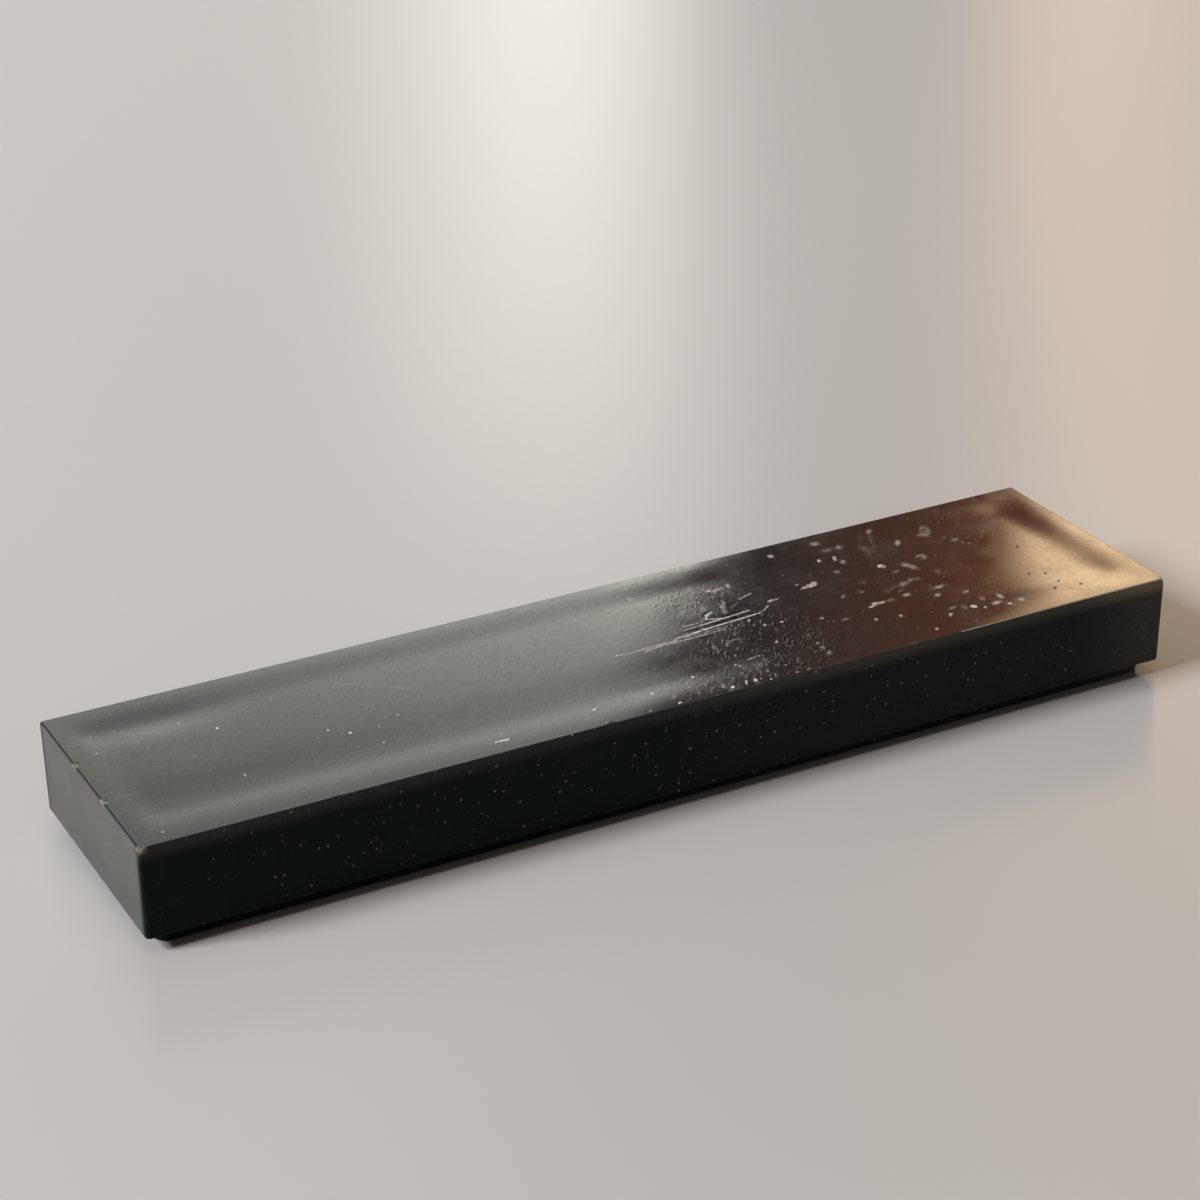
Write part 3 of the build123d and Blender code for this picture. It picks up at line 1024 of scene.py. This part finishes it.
# The panels on it, each painted over the ones before: its left, right, lower and upper edges, in
# degrees from the camera's azimuth and over the floor, each with its softness or None where it has no
# such edge, then how far it leans to the left as it rises, and its colour. The last one covers the
# card below what the photograph mirrors, so that a low camera meets no bright panel.
CARD_PANELS = (
    ((-3.4, 2.6), None, None, (22.5, 1.5), 0.0, (2.75, 2.64, 2.42)),
    ((0.37, 0.70), None, None, (25.68, 0.35), 0.0, (2.10, 2.10, 2.00)),
    ((1.90, 1.00), None, None, (22.0, 1.2), 0.0, (0.62, 0.60, 0.56)),
    ((1.55, 1.15), None, (21.8, 0.8), None, 0.35, (0.030, 0.018, 0.018)),
    ((0.50, 0.60), (2.15, 0.50), (24.3, 0.8), (25.45, 0.25), 0.0, (2.10, 2.10, 2.00)),
    ((6.00, 3.00), None, (21.8, 0.8), None, 0.0, (0.180, 0.040, 0.010)),
    ((9.53, 1.40), None, (26.07, 1.5), None, 0.0, (1.75, 1.12, 0.64)),
    ((9.53, 0.80), None, (22.07, 0.5), (26.07, 1.5), 0.0, (2.60, 1.80, 1.12)),
    ((8.50, 1.50), None, (28.0, 0.8), None, 0.0, (0.52, 0.28, 0.10)),
    ((8.40, 0.80), None, None, (21.5, 1.2), 0.0, (1.85, 1.34, 1.00)),
    ((11.6, 1.00), None, None, (21.5, 1.2), 0.0, (1.00, 0.84, 0.72)),
    (None, None, None, (9.0, 4.0), 0.0, (0.80, 0.79, 0.77)),
)
CARD_MIDDLE = 26.0
CARD_REACH = 20.0
CARD_TOP = 42.0
CARD_STRENGTH = 3.0


def rise(angle):
    """The height, or the step to the side, of an angle on a card at a distance of 1"""
    return math.tan(math.radians(angle))


def soft_edge(tree, place, edge, rising):
    """0 before a soft edge and 1 after it, or the other way round"""
    if edge is None:
        return 1.0
    angle, softness = edge
    ends = (0.0, 1.0) if rising else (1.0, 0.0)
    return ramp(tree, place, rise(angle - softness), rise(angle + softness), *ends)


def card_gradient(tree, high):
    """The card's gradient from low to high"""
    node = tree.nodes.new("ShaderNodeValToRGB")
    node.color_ramp.interpolation = "EASE"
    steps = node.color_ramp.elements
    while len(steps) < len(CARD_GRADIENT):
        steps.new(1.0)
    for step, (angle, values) in zip(steps, CARD_GRADIENT):
        step.position = rise(angle) / rise(CARD_TOP)
        step.color = opaque([value / CARD_STRENGTH for value in values])
    feed(tree, node.inputs["Fac"], calc(tree, "DIVIDE", high, rise(CARD_TOP)))
    return node.outputs["Color"]


def add_card(stage):
    """The reflection card behind the tile, which mirrors and the floor's gloss see, and nothing else"""
    material = bpy.data.materials.new("reflection_card")
    material.use_nodes = True
    tree = material.node_tree
    tree.nodes.clear()
    where = tree.nodes.new("ShaderNodeTexCoord").outputs["Object"]
    far = stage.card_distance
    axes = add_node(tree, "ShaderNodeSeparateXYZ", Vector=where).outputs
    across, high = (calc(tree, "DIVIDE", axes[axis], far) for axis in ("X", "Y"))
    colours = card_gradient(tree, high)
    above = calc(tree, "SUBTRACT", high, rise(CARD_MIDDLE))
    for left, right, low, top, lean, values in CARD_PANELS:
        along = calc(tree, "MULTIPLY_ADD", above, lean, across) if lean else across
        mask = times(tree, soft_edge(tree, along, left, True), soft_edge(tree, along, right, False))
        band = times(tree, soft_edge(tree, high, low, True), soft_edge(tree, high, top, False))
        painted = opaque([value / CARD_STRENGTH for value in values])
        colours = blend(tree, times(tree, mask, band), colours, painted)
    light = add_node(tree, "ShaderNodeEmission", Color=colours, Strength=CARD_STRENGTH)
    output = tree.nodes.new("ShaderNodeOutputMaterial")
    tree.links.new(light.outputs[0], output.inputs["Surface"])

    reach, tall = far * rise(CARD_REACH), far * rise(CARD_TOP)
    lifted = Matrix.Translation((0.0, tall / 2, 0.0)) @ Matrix.Diagonal((reach, tall / 2, 1.0, 1.0))
    card = stage_object("reflection_card", plane_mesh("reflection_card", lifted), material)
    ahead = Vector((-math.sin(stage.turn), math.cos(stage.turn), 0.0))
    right = Vector((math.cos(stage.turn), math.sin(stage.turn), 0.0))
    card.matrix_world = frame_matrix(right, Vector((0.0, 0.0, 1.0)), -ahead, ahead * far)
    card.visible_camera = False
    card.visible_diffuse = False


def frame_matrix(right, up, back, place):
    """The matrix of an object whose axes point right, up and back"""
    turned = Matrix((right, up, back)).transposed().to_4x4()
    turned.translation = place
    return turned


def add_softbox(name, stage, which):
    """A square softbox that faces the tile and lights a white floor there to the level of its setting"""
    level, size, distance, turn, height = (
        getattr(stage, f"{which}_{part}") for part in ("level", "size", "distance", "turn", "height")
    )
    light = bpy.data.lights.new(name, "AREA")
    light.shape = "SQUARE"
    light.size = size
    light.color = getattr(stage, which)
    radiance = level * math.pi * distance**2 / (size**2 * math.sin(height))
    light.energy = radiance * math.pi * size**2
    box = bpy.data.objects.new(name, light)
    bpy.context.scene.collection.objects.link(box)
    flat = math.cos(height)
    towards = Vector((flat * math.cos(turn), flat * math.sin(turn), math.sin(height)))
    facing = towards.to_track_quat("Z", "Y").to_matrix().to_4x4()
    box.matrix_world = Matrix.Translation(towards * distance) @ facing
    return box


def link_to_floor(box, state):
    """Lets a light fall on the floor alone (INCLUDE), or on everything else (EXCLUDE)"""
    lit = bpy.data.collections.new(box.name)
    lit.objects.link(bpy.data.objects["floor"])
    lit.collection_objects[0].light_linking.link_state = state
    box.light_linking.receiver_collection = lit


def add_world(stage):
    """A pale backdrop for the camera and for mirrors, and a warm fill for the rest"""
    world = bpy.data.worlds.new("studio")
    world.use_nodes = True
    tree = world.node_tree
    path = tree.nodes.new("ShaderNodeLightPath").outputs
    seen = largest(tree, [path["Is Camera Ray"], path["Is Glossy Ray"], path["Is Transmission Ray"]])
    background = tree.nodes["Background"]
    feed(tree, background.inputs["Color"], blend(tree, seen, opaque(stage.fill), opaque(stage.backdrop)))
    bpy.context.scene.world = world


def add_camera(stage):
    """The camera, at the photograph's place and angle"""
    lens = bpy.data.cameras.new("camera")
    lens.sensor_width = 36.0
    lens.lens = stage.lens
    lens.clip_start = 1.0 * MM
    lens.clip_end = 100.0
    camera = bpy.data.objects.new("camera", lens)
    bpy.context.scene.collection.objects.link(camera)
    level = math.cos(stage.tilt)
    back = Vector((math.sin(stage.turn) * level, -math.cos(stage.turn) * level, math.sin(stage.tilt)))
    right = Vector((math.cos(stage.turn), math.sin(stage.turn), 0.0))
    roll = Matrix.Rotation(stage.roll, 3, back)
    camera.matrix_world = frame_matrix(roll @ right, roll @ back.cross(right), back, Vector(stage.place))
    bpy.context.scene.camera = camera


class METAL_TILE_OT_stage(bpy.types.Operator):
    """Makes the floor, the lights, the reflection card and the camera"""

    bl_idname = "metal_tile.stage"
    bl_label = "Tile Stage"

    def execute(self, context):
        stage = context.scene.tile_stage
        add_floor(stage)
        add_card(stage)
        # The floor has a near softbox of its own, which its gloss doesn't mirror
        for name, state in (("near_softbox", "EXCLUDE"), ("near_softbox_floor", "INCLUDE")):
            box = add_softbox(name, stage, "key")
            link_to_floor(box, state)
            box.visible_glossy = state == "EXCLUDE"
        add_softbox("overhead_softbox", stage, "top")
        add_world(stage)
        add_camera(stage)
        context.scene.view_settings.view_transform = "Standard"
        return {"FINISHED"}


class METAL_TILE_PT_panel(bpy.types.Panel):
    """Settings of the metal tile and its stage"""

    bl_idname = "METAL_TILE_PT_panel"
    bl_label = "Metal Tile"
    bl_space_type = "VIEW_3D"
    bl_region_type = "UI"
    bl_category = "Metal Tile"

    def draw(self, context):
        for group in ("tile_shape", "tile_finish", "tile_dust", "tile_stage"):
            box = self.layout.box()
            settings = getattr(context.scene, group)
            for name in settings.bl_rna.properties.keys():
                if name not in {"rna_type", "name"}:
                    box.prop(settings, name)
        for operator in ("stage", "finishes", "body", "flakes"):
            self.layout.operator(f"metal_tile.{operator}")


SETTINGS = {
    "tile_shape": TileShape,
    "tile_finish": TileFinish,
    "tile_dust": TileDust,
    "tile_stage": TileStage,
}
CLASSES = (
    *SETTINGS.values(),
    METAL_TILE_OT_stage,
    METAL_TILE_OT_finishes,
    METAL_TILE_OT_body,
    METAL_TILE_OT_flakes,
    METAL_TILE_PT_panel,
)


def register():
    """Registers the classes and hangs the settings on the scene"""
    for each in CLASSES:
        bpy.utils.register_class(each)
    for name, group in SETTINGS.items():
        setattr(bpy.types.Scene, name, PointerProperty(type=group))


def unregister():
    """Takes the settings and the classes away again"""
    for name in SETTINGS:
        delattr(bpy.types.Scene, name)
    for each in reversed(CLASSES):
        bpy.utils.unregister_class(each)


def main():
    """Builds the stage and the tile"""
    register()
    bpy.ops.metal_tile.stage()
    bpy.ops.metal_tile.finishes()
    bpy.ops.metal_tile.body()
    bpy.ops.metal_tile.flakes()


if __name__ == "__main__":
    main()
